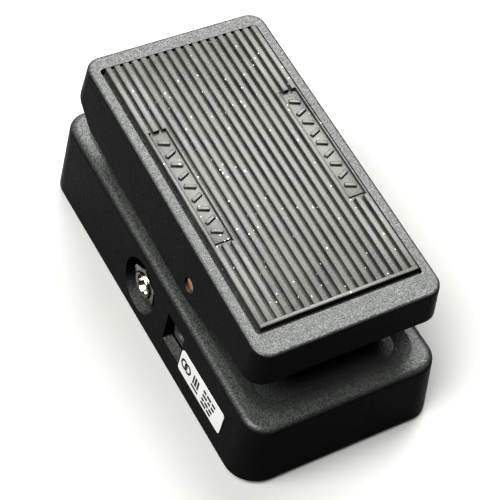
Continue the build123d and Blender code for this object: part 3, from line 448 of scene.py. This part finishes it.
# a rounded film on the sloping wall, with two plain rings, some bars and rows of dashes printed on it
def buildLabel():
    y, z = film["middle"]
    lean = math.atan(film["wallDraft"] / film["wallHeight"])
    x = -(film["wallFoot"] - film["wallDraft"] * (z - film["wallStart"]) / film["wallHeight"])
    stand = Matrix(((0, math.sin(lean), -math.cos(lean), x * mm), (-1, 0, 0, y * mm),
                    (0, math.cos(lean), math.sin(lean), z * mm), (0, 0, 0, 1)))
    shape = bmesh.new()
    made = bmesh.ops.create_cube(shape, size=1.0)["verts"]
    bmesh.ops.scale(shape, verts=made, vec=(film["length"] * mm, film["height"] * mm, film["thickness"] * mm))
    bmesh.ops.translate(shape, verts=made, vec=(0, 0, (film["clear"] + film["thickness"] / 2) * mm))
    uprights = [e for e in shape.edges if abs(e.verts[0].co.z - e.verts[1].co.z) > film["thickness"] / 2 * mm]
    bmesh.ops.bevel(shape, geom=uprights, offset=film["corner"] * mm, segments=6, profile=0.5, affect="EDGES",
                    material=-1)
    top = (film["clear"] + film["thickness"]) * mm
    rise = marks["rise"] * mm

    def mark(x, y, width, height):
        addBlock(shape, ((x - width / 2) * mm, (x + width / 2) * mm), ((y - height / 2) * mm, (y + height / 2) * mm),
                 (top - rise, top + rise), material=1)

    for x in marks["rings"]:
        outer, inner = [bmesh.ops.create_circle(shape, segments=marks["ringSteps"], radius=marks[size] * mm)["verts"]
                        for size in ("ringOuter", "ringInner")]
        rims = list({e for v in outer + inner for e in v.link_edges})
        bridged = bmesh.ops.bridge_loops(shape, edges=rims)["faces"]
        raised = bmesh.ops.extrude_face_region(shape, geom=bridged)["geom"]
        lifted = [g for g in raised if isinstance(g, bmesh.types.BMVert)]
        bmesh.ops.translate(shape, verts=lifted, vec=(0, 0, 2 * rise))
        ringVerts = set(outer + inner + lifted)
        bmesh.ops.translate(shape, verts=list(ringVerts), vec=(x * mm, marks["ringLevel"] * mm, top - rise))
        for face in {f for v in ringVerts for f in v.link_faces}:
            face.material_index = 1
    for bar in marks["bars"]:
        mark(*bar)
    for y, widths in marks["rows"]:
        x = marks["rowStart"]
        for width in widths:
            mark(x + width / 2, y, width, marks["rowHeight"])
            x += width + marks["rowGap"]
    bmesh.ops.transform(shape, matrix=stand, verts=shape.verts)
    bmesh.ops.recalc_face_normals(shape, faces=shape.faces)
    finishPiece("printedLabel", shape, [finishes["label_white"], ink], "base", ["rating_label"])


buildLabel()
print("label built")


cameraSetup = {"place": (-0.18144, -0.24821, 0.39774), "right": (0.87248, -0.47521, 0.11385),
               "up": (0.31055, 0.71911, 0.62164), "lens": 111.12, "sensor": 36.0, "clip": (0.01, 20.0)}
camera = bpy.data.objects.new("camera", bpy.data.cameras.new("camera"))
bpy.context.scene.collection.objects.link(camera)
across = Vector(cameraSetup["right"]).normalized()
upward = Vector(cameraSetup["up"])
upward = (upward - across * upward.dot(across)).normalized()
turned = Matrix((across, upward, across.cross(upward))).transposed().to_4x4()
camera.matrix_world = Matrix.Translation(cameraSetup["place"]) @ turned
camera.data.sensor_width = cameraSetup["sensor"]
camera.data.lens = cameraSetup["lens"]
camera.data.clip_start, camera.data.clip_end = cameraSetup["clip"]
bpy.context.scene.camera = camera

# each light: the way it comes from, its strength and its spread in degrees
studio = {"key": ((0.38, 0.42, 0.84), 17.5, 32.0), "overhead": ((-0.52, -0.03, 0.85), 30.0, 44.0),
          "skyStrength": 0.1, "floorHalf": 3.0}


def addSoftLight(name, direction, strength, angle):
    sun = bpy.data.lights.new(name, "SUN")
    sun.energy = strength
    sun.angle = math.radians(angle)
    light = bpy.data.objects.new(name, sun)
    light.rotation_mode = "QUATERNION"
    light.rotation_quaternion = Vector(direction).to_track_quat("Z", "Y")
    bpy.context.scene.collection.objects.link(light)


addSoftLight("softKey", *studio["key"])
addSoftLight("softOverhead", *studio["overhead"])

world = bpy.data.worlds.new("studioSky")
bpy.context.scene.world = world
world.use_nodes = True
world.node_tree.nodes["Background"].inputs["Color"].default_value = toLinear("#ffffff")
world.node_tree.nodes["Background"].inputs["Strength"].default_value = studio["skyStrength"]

floorMaterial = newMaterial("paperFloor", "#424241", 0.0, 0.9, 0.1)[0]  # seamless matt paper
floorShape = bmesh.new()
bmesh.ops.create_grid(floorShape, x_segments=1, y_segments=1, size=studio["floorHalf"])
floorMesh = bpy.data.meshes.new("floor")
floorShape.to_mesh(floorMesh)
floorShape.free()
floorMesh.materials.append(floorMaterial)
floor = bpy.data.objects.new("floor", floorMesh)
bpy.context.scene.collection.objects.link(floor)

view = bpy.context.scene.view_settings
view.view_transform = "Standard"
view.look = "Very High Contrast"
print("camera and studio ready")
